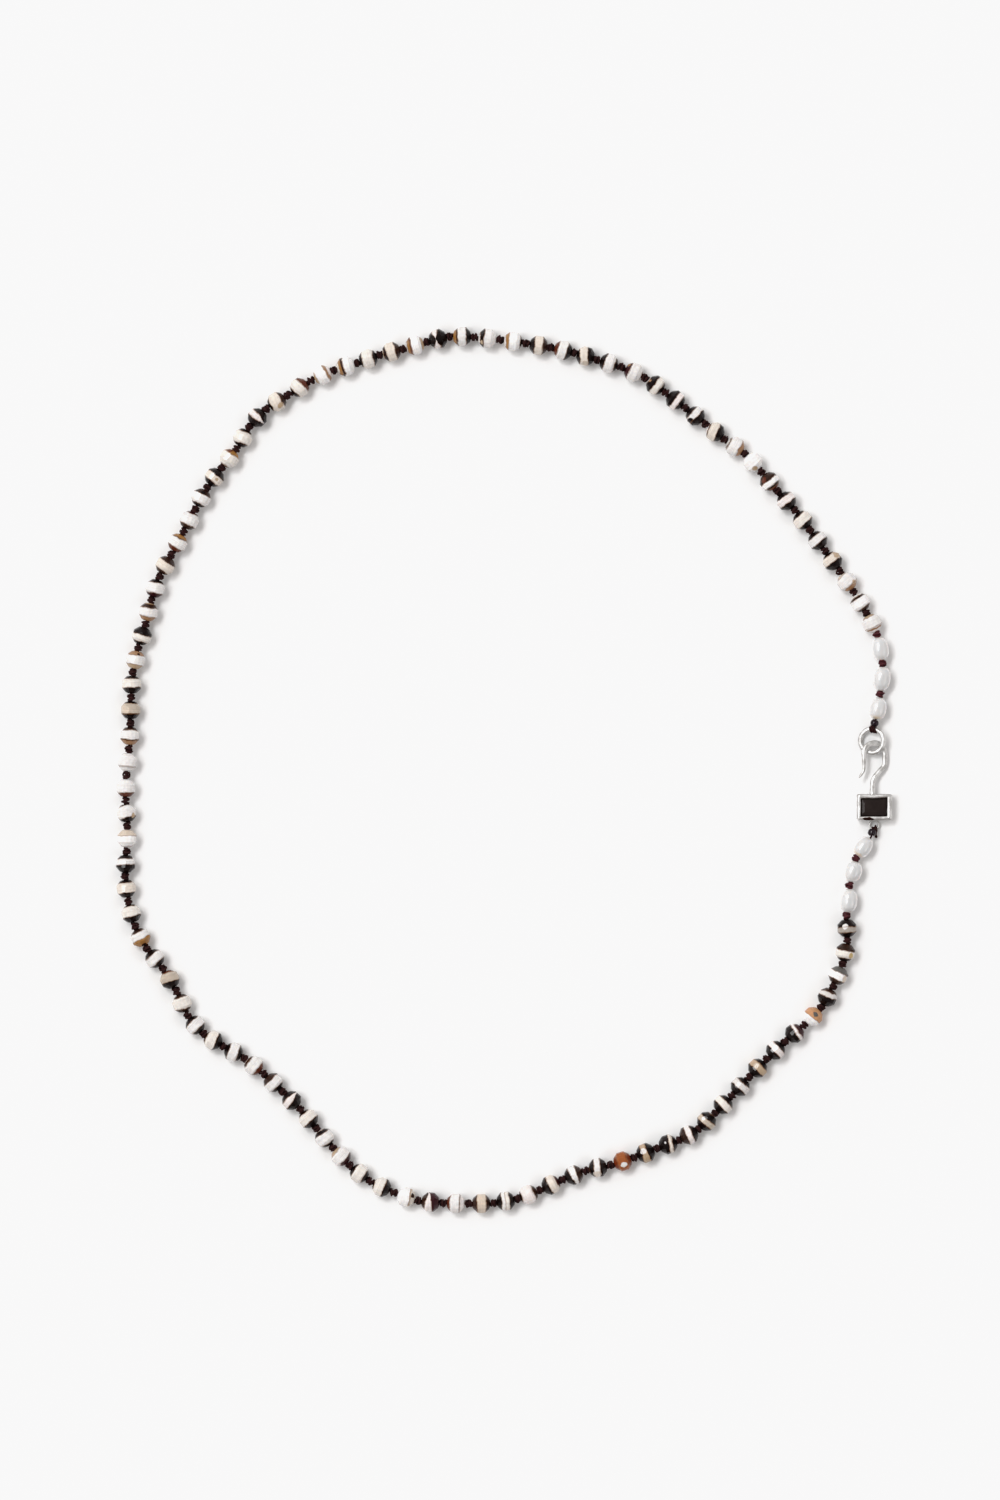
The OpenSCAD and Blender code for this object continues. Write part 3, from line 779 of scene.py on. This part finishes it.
# The hook's wire from its root to its tip, stretch by stretch. Columns: turn in degrees, right
# if positive; radius of the bend, or the length of a straight stretch; diameter of the wire at
# its end; how much broader than thick it is there; rings along it.
root_wire_d = 1.42
hook_form = [
    (0, 0.55, 1.24, 1.0, 3), (0, 1.80, 1.04, 1.05, 5), (42, 2.7, 1.03, 1.05, 8),
    (0, 2.2, 1.03, 1.05, 6), (-42, 2.25, 1.05, 1.06, 8), (0, 1.43, 1.05, 1.08, 4),
    (-60, 2.3, 1.05, 1.15, 12), (-75, 2.3, 1.08, 1.24, 16), (-45, 2.3, 1.02, 1.10, 10),
    (0, 2.8, 0.74, 1.0, 9), (38, 1.9, 0.62, 1.0, 8), (0, 1.15, 0.32, 1.0, 6),
    (0, 0.12, 0.10, 1.0, 3),
]
hook_lean = math.radians(16)
hook_root = bezel_at + Vector((-0.3 * mm, bezel_w / 2 - 0.35 * mm, 1.55 * mm))
hook_sides = 20


def hook_stations():
    point = Vector((0, 0, 0))
    heading = math.pi / 2
    d, flat = root_wire_d, 1.0
    stations = [(point.copy(), heading, d, flat)]
    for turn, size, end_d, end_flat, rings in hook_form:
        bend = math.radians(turn)
        length = abs(bend) * size if turn else size
        for j in range(1, rings + 1):
            part = j / rings
            here = heading - bend * (part - 0.5 / rings)
            point = point + Vector((math.cos(here), math.sin(here), 0)) * length / rings
            stations.append((point.copy(), heading - bend * part, d + (end_d - d) * part,
                             flat + (end_flat - flat) * part))
        heading -= bend
        d, flat = end_d, end_flat
    return stations


clasp_form = bmesh.new()
wire_loops = []
for point, heading, d, flat in hook_stations():
    side = Vector((math.sin(heading), -math.cos(heading), 0))
    way = Vector((math.cos(heading), math.sin(heading), 0))
    turned = Matrix((side * flat, Vector((0, 0, 1)) / flat, way)).transposed().to_4x4()
    ring = bmesh.ops.create_circle(clasp_form, segments=hook_sides, radius=d * mm / 2,
                                   matrix=Matrix.Translation(point * mm) @ turned)["verts"]
    wire_loops.append(list({edge for vert in ring for edge in vert.link_edges}))
bridged(clasp_form, wire_loops)
bmesh.ops.holes_fill(clasp_form, edges=wire_loops[0] + wire_loops[-1], sides=0)
bmesh.ops.recalc_face_normals(clasp_form, faces=clasp_form.faces)
hand_worked(clasp_form, 1.9 * mm, 0.07 * mm, 12.0)
hand_worked(clasp_form, 0.6 * mm, 0.02 * mm, 17.0)
hook_place = Matrix.Translation(hook_root) @ Matrix.Rotation(hook_lean, 4, "Y")
bmesh.ops.transform(clasp_form, matrix=hook_place, verts=clasp_form.verts)

loop_form = wire_ring(loop_r, loop_wire_r, 12, 40)
hand_worked(loop_form, 0.8 * mm, 0.03 * mm, 21.0)
bmesh.ops.transform(loop_form, matrix=Matrix.Translation(loop_at), verts=loop_form.verts)

clasp_parts = [piece_of(bezel_form, "clasp_bezel"), piece_of(clasp_form, "clasp_hook"),
               piece_of(loop_form, "clasp_loop")]
for part in clasp_parts:
    part.data.materials.append(silver)
    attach(part, "root")
    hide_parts("clasp")

# The stone. A long black step-cut stone with a flat table, held down by the rim of the bezel;
# its facets are polished, and their edges are a little worn.
stone_form = bmesh.new()
stone_form.from_mesh(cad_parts["stone"].data)
bmesh.ops.remove_doubles(stone_form, verts=stone_form.verts, dist=weld_gap)
bmesh.ops.dissolve_limit(stone_form, angle_limit=math.radians(1), verts=stone_form.verts,
                         edges=stone_form.edges)
sharp = [edge for edge in stone_form.edges if edge.calc_face_angle(0) > math.radians(8)]
bmesh.ops.bevel(stone_form, geom=sharp, offset=0.03 * mm, affect="EDGES", segments=2, profile=0.5,
                material=-1)
stone_piece = piece_of(stone_form, "stone_cut", smooth=False)


def stone_material():
    material, surface = new_material("black_stone")
    colour = mix_tones(material, cloud(material, 500),
                       (0.020, 0.016, 0.015, 1), (0.040, 0.031, 0.029, 1))
    dull(material, surface, cloud(material, 1600), 0.10, 0.10)
    bump(material, surface, cloud(material, 1200), 0.06, 0.03 * mm)
    set_inputs(material, surface, {"Base Color": colour, "Specular IOR Level": 0.08})
    return material


stone_piece.data.materials.append(stone_material())
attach(stone_piece, "root")
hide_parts("stone")

# The thread. Twisted wine-dark silk, knotted between all the beads and redder at the knots
# between the pearls; at one end it is wound round the ring's wire, and at the other round the
# loop, where its tail ends in a melted ball.
thread_r = 0.22 * mm
thread_sides = 8
knot_gap = 0.03 * mm
knot_space = 0.9 * mm
knot_turn = 0.37
steps_a_turn = 11
tie_step = 20
# Knots differ: how far each leans, and how much its turns bulge, as shares of its size.
knot_lean = 0.15
lean_swing = 0.12
turn_bulge = 0.10
# One knot as the line that the thread takes: straight through, then wound back over itself.
# Columns: turns round the middle line, distance from it in thread diameters, place along it in
# half lengths of the knot, and thickness as a share of the thread's.
knot_line = [
    (0.00, 0.00, -1.00, 1.0), (0.00, 0.10, -0.64, 1.9), (0.00, 0.10, 0.64, 1.9),
    (0.14, 0.80, 0.96, 1.0), (0.32, 1.25, 0.82, 1.0), (1.20, 1.50, 0.08, 1.0),
    (2.05, 1.32, -0.66, 1.0), (2.20, 1.05, -0.90, 1.0), (2.40, 1.45, -0.50, 1.0),
    (2.80, 1.74, 0.02, 1.0), (3.20, 1.58, 0.52, 1.0), (3.45, 1.10, 0.88, 1.0),
    (3.60, 0.60, 0.98, 1.0), (3.64, 0.00, 1.00, 1.0),
]


def knot_points(a, b, turn):
    way = (b - a).normalized()
    side = level_side(way)
    up = way.cross(side)
    half = (b - a).length / 2 - knot_gap
    lean = knot_lean + lean_swing * math.sin(9.1 * turn)
    points = []
    shares = []
    for start, end in zip(knot_line, knot_line[1:]):
        steps = max(2, round((end[0] - start[0]) * steps_a_turn))
        for i in range(steps):
            turns, out, along, share = (p + (q - p) * i / steps for p, q in zip(start, end))
            angle = math.tau * (turns + turn)
            along += lean * out * math.sin(angle) * (1 - along * along)
            out *= 1 + turn_bulge * math.sin(2.3 * angle + 5.0 * turn)
            points.append((a + b) / 2 + way * half * along
                          + 2 * thread_r * out * (side * math.cos(angle) + up * math.sin(angle)))
            shares.append(share)
    return points, shares


def hole_ends(seat):
    belly = sum(pearl_forms[name][1] for name, other in pearl_seats.items() if other is seat)
    at = seat["at"] - Vector((belly * mm, 0, 0))
    return at - seat["way"] * seat["length"] / 2, at + seat["way"] * seat["length"] / 2


def wound(wire_at, wire_way, wire_r, hole, spread, turns):
    """The thread's turns round a wire, each from the black bead's hole over the wire and back."""
    out = (hole - wire_at) - (hole - wire_at).dot(wire_way) * wire_way
    out.z = 0
    out.normalize()
    up = wire_way.cross(out)
    if up.z < 0:
        up = -up
    r = wire_r + thread_r * 1.05
    points = []
    for i in range(turns):
        aside = spread * (2 * i / (turns - 1) - 1)
        points.append(hole + wire_way * aside * 0.3)
        for degrees in range(60, 321, tie_step):
            angle = math.radians(degrees)
            points.append(wire_at + wire_way * aside
                          + r * (math.cos(angle) * out + math.sin(angle) * up))
    return points


tie_shift = 0.3 * mm
tie_turn = math.asin(tie_shift / ring_r)
tie_sin = math.sin(tie_turn)
tie_cos = math.cos(tie_turn)
ring_wire_at = ring_place @ Vector((ring_r * tie_sin, ring_r * tie_cos, 0))
ring_wire_way = (ring_place.to_3x3() @ Vector((tie_cos, -tie_sin, 0))).normalized()
first_hole = hole_ends(first_strung[0])[0]
loop_wire_at = loop_at - Vector((0, loop_r, 0))

thread_points = wound(ring_wire_at, ring_wire_way, ring_wire_r, first_hole, 0.5 * mm, 3)
thread_radii = [1.0] * len(thread_points)
for number, (seat, after) in enumerate(zip(strung, strung[1:])):
    start, end = hole_ends(seat)
    next_start = hole_ends(after)[0]
    thread_points += [start, end]
    thread_radii += [1.0, 1.0]
    if (next_start - end).length > knot_space:
        knot, shares = knot_points(end, next_start, knot_turn * number)
        thread_points += knot
        thread_radii += shares
thread_points += list(hole_ends(strung[-1]))
# The turns round the loop's wire. Columns: place along the wire in mm, distance from its middle
# in thread radii, first and last angle: 0 is away from the bezel, 90 on top.
loop_turns = [
    (-0.30, 1.0, 330, 40), (0.10, 1.0, 330, 20), (0.48, 1.0, 330, 20), (0.28, 2.7, 190, 60),
]
for aside, out, first_angle, last_angle in loop_turns:
    r = loop_wire_r + out * thread_r
    for angle in range(first_angle, last_angle - 1, -tie_step):
        turn = math.radians(angle)
        away = Vector((aside * mm, -r * math.cos(turn), r * math.sin(turn)))
        thread_points.append(loop_wire_at + away)
thread_radii += [1.0] * (len(thread_points) - len(thread_radii))
# The tail with its melted ball. Columns: place from the wire's middle in mm, and the radius there
# as a share of the thread's.
tail_line = [
    (0.42, 0.20, 0.86, 0.8), (0.46, -0.25, 0.86, 0.6), (0.46, -0.62, 0.62, 0.55),
    (0.43, -0.95, 0.22, 0.55), (0.41, -1.20, -0.12, 0.55), (0.41, -1.27, -0.20, 1.0),
    (0.41, -1.36, -0.26, 1.38), (0.41, -1.50, -0.30, 1.50), (0.41, -1.64, -0.31, 1.40),
    (0.41, -1.74, -0.32, 1.0), (0.41, -1.78, -0.32, 0.4),
]
thread_points += [loop_wire_at + Vector(place) * mm for *place, _ in tail_line]
thread_radii += [share for *_, share in tail_line]

line = bpy.data.curves.new("thread_line", "CURVE")
line.dimensions = "3D"
line.bevel_depth = thread_r
line.bevel_resolution = 2
line.use_fill_caps = True
spline = line.splines.new("POLY")
spline.points.add(len(thread_points) - 1)
for spot, point, share in zip(spline.points, thread_points, thread_radii):
    spot.co = (*point, 1)
    spot.radius = share
line_holder = add_object("thread_line", line)
thread_mesh = bpy.data.meshes.new_from_object(line_holder)
bpy.data.objects.remove(line_holder)
bpy.data.curves.remove(line)
thread_mesh.name = "thread_twist"
twist = thread_mesh.attributes.new("run", "FLOAT", "POINT")
caps = len(thread_mesh.vertices) - thread_sides * len(thread_points)
run_length = 0.0
for i, (before, point) in enumerate(zip(thread_points[:1] + thread_points, thread_points)):
    run_length += (point - before).length
    for j in range(thread_sides):
        twist.data[caps + thread_sides * i + j].value = run_length / mm
weld = bmesh.new()
weld.from_mesh(thread_mesh)
bmesh.ops.remove_doubles(weld, verts=weld.verts, dist=1e-7)
bmesh.ops.recalc_face_normals(weld, faces=weld.faces)
thread_piece = piece_of(weld, "thread_twist")

# Where the silk is redder: the clasp's place in y, and how the red fades in beyond the hook,
# fades out before the agate beads, and fades in from the left.
clasp_y = -2.3 * mm
red_from = (12.2 * mm, 14.0 * mm)
red_until = (34.0 * mm, 31.0 * mm)
red_side = (66 * mm, 70 * mm)
strands = 4.0
twists_a_mm = 2.6


def thread_material():
    material, surface = new_material("wine_silk")
    run_at = attribute(material, "run").outputs["Fac"]
    around = apart(material, add_node(material, "UVMap").outputs["UV"])[1]
    turns = scaled(material, around, strands, sum_up(material, "MULTIPLY", run_at, twists_a_mm))
    strand = sum_up(material, "SINE", sum_up(material, "MULTIPLY", turns, math.tau))
    ply = scaled(material, strand, 0.5, 0.5)
    dyed = mix_tones(material, cloud(material, 1300),
                     (0.009, 0.0035, 0.0035, 1), (0.040, 0.011, 0.010, 1))
    # Painted highlight: the crown of each twisted strand is drawn lighter than the dyed silk.
    colour = mix_tones(material, sum_up(material, "MULTIPLY", ply, 0.4),
                       dyed, (0.060, 0.021, 0.021, 1))
    place = apart(material, add_node(material, "TexCoord").outputs["Object"])
    from_clasp = sum_up(material, "ABSOLUTE", sum_up(material, "SUBTRACT", place[1], clasp_y))
    redder = sum_up(material, "MULTIPLY", step_up(material, from_clasp, *red_from),
                    step_up(material, from_clasp, *red_until))
    redder = sum_up(material, "MULTIPLY", redder, step_up(material, place[0], *red_side))
    wine_red = mix_tones(material, cloud(material, 1500),
                         (0.033, 0.009, 0.011, 1), (0.115, 0.034, 0.042, 1))
    colour = mix_tones(material, redder, colour, wine_red)
    dull(material, surface, ply, -0.15, 0.70)
    bump(material, surface, ply, 0.7, 0.05 * mm)
    set_inputs(material, surface, {"Base Color": colour, "Specular IOR Level": 0.22})
    return material


thread_piece.data.materials.append(thread_material())
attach(thread_piece, "root")
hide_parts("thread")

# The studio. The necklace lies on a plain pale floor, with two soft lamps at the upper left, a
# weaker one at the lower right and a pale room round it, and the camera looks straight down.
floor_form = bmesh.new()
bmesh.ops.create_grid(floor_form, x_segments=1, y_segments=1, size=2.5)
floor = piece_of(floor_form, "floor", smooth=False)
floor.location.z = -0.02 * mm
floor_material, floor_surface = new_material("pale_floor")
set_inputs(floor_material, floor_surface, {"Base Color": (0.85, 0.85, 0.85, 1),
                                           "Roughness": 0.9, "Specular IOR Level": 0.0})
floor.data.materials.append(floor_material)


def add_lamp(name, at, aim, size, power, tint):
    lamp = bpy.data.lights.new(name, "AREA")
    lamp.shape = "RECTANGLE"
    lamp.size, lamp.size_y = size
    lamp.energy = power
    lamp.color = tint
    holder = add_object(name, lamp)
    holder.location = at
    holder.rotation_euler = (Vector(aim) - Vector(at)).to_track_quat("-Z", "Y").to_euler()


add_lamp("window", (-3.9, 1.5, 6.9), (0, 0.9, 0), (4.4, 2.0), 268.0, (0.98, 1.0, 1.01))
add_lamp("key", (-2.7, 3.6, 7.5), (0, 0, 0), (2.0, 2.0), 189.0, (0.99, 1.0, 1.0))
add_lamp("right_fill", (5.4, -2.4, 5.0), (0, 0, 0), (4.0, 3.0), 46.0, (1.0, 0.995, 0.985))

# The room round the studio, by direction: greyer overhead where the camera stands, brightest
# halfway up, dark along the horizon, and warm and dark low in front of the floor. Columns of its
# greys: height, from 0 at the horizon to 1 overhead, and grey.
room_greys = [
    (0.06, 0.45), (0.20, 0.78), (0.45, 0.90), (0.66, 0.84), (0.77, 0.48), (0.87, 0.38),
]
horizon_grey = 0.16
overhead_grey = 0.35
room_strength = 1.05
world = bpy.data.worlds.new("studio")
bpy.context.scene.world = world
world.use_nodes = True
way_to = apart(world, add_node(world, "TexCoord").outputs["Generated"])
ramp = add_node(world, "ValToRGB", {0: way_to["Z"]})
stops = ramp.color_ramp.elements
for stop, grey in zip(stops, (horizon_grey, overhead_grey)):
    stop.color = (grey, grey, grey, 1)
for height, grey in room_greys:
    stops.new(height).color = (grey, grey, grey, 1)
leftward = step_up(world, way_to["X"], 0.9, -0.9, 0.95, 1.15)
room = add_node(world, "VectorMath", {0: ramp.outputs[0], 3: leftward}, operation="SCALE")
room = add_node(world, "VectorMath", {0: room.outputs[0], 1: (1.0, 0.965, 0.95)},
                operation="MULTIPLY")
front = step_up(world, way_to["Y"], -0.55, -0.85)
room = mix_tones(world, front, room.outputs[0], (0.13, 0.085, 0.06, 1))
background = world.node_tree.nodes["Background"]
set_inputs(world, background, {"Color": room, "Strength": room_strength})

# The exposure: the lit floor goes flat just under white, as on a sheet of white paper, and only
# the brightest glints rise above it. Columns: light, and the tone that it is shown as.
view = bpy.context.scene.view_settings
view.view_transform = "Standard"
view.look = "None"
view.use_curve_mapping = True
brightest = 2.4
exposure = [(0.02, 0.010), (0.06, 0.043), (0.15, 0.138), (0.30, 0.29), (0.50, 0.47), (0.70, 0.68),
            (0.82, 0.817), (0.90, 0.913), (0.95, 0.938), (1.04, 0.942), (1.45, 0.942), (2.10, 1.0)]
view.curve_mapping.white_level = (brightest, brightest, brightest)
for light, tone in exposure:
    view.curve_mapping.curves[3].points.new(light / brightest, tone).handle_type = "VECTOR"
view.curve_mapping.update()

# The picture shows 210 mm by 315 mm of the floor, from straight above.
picture_h = 1500
pixel = 0.21 * mm
view_at = Vector((-0.71 * mm, 4.18 * mm, 2 * mm))
view_distance = 1.6
camera_data = bpy.data.cameras.new("camera")
camera_data.sensor_fit = "VERTICAL"
camera_data.sensor_height = 36.0
camera_data.lens = camera_data.sensor_height * view_distance / (picture_h * pixel)
camera_data.clip_start = 0.01
camera_data.clip_end = 20
camera = add_object("camera", camera_data)
camera.location = view_at + Vector((0, 0, view_distance))
bpy.context.scene.camera = camera
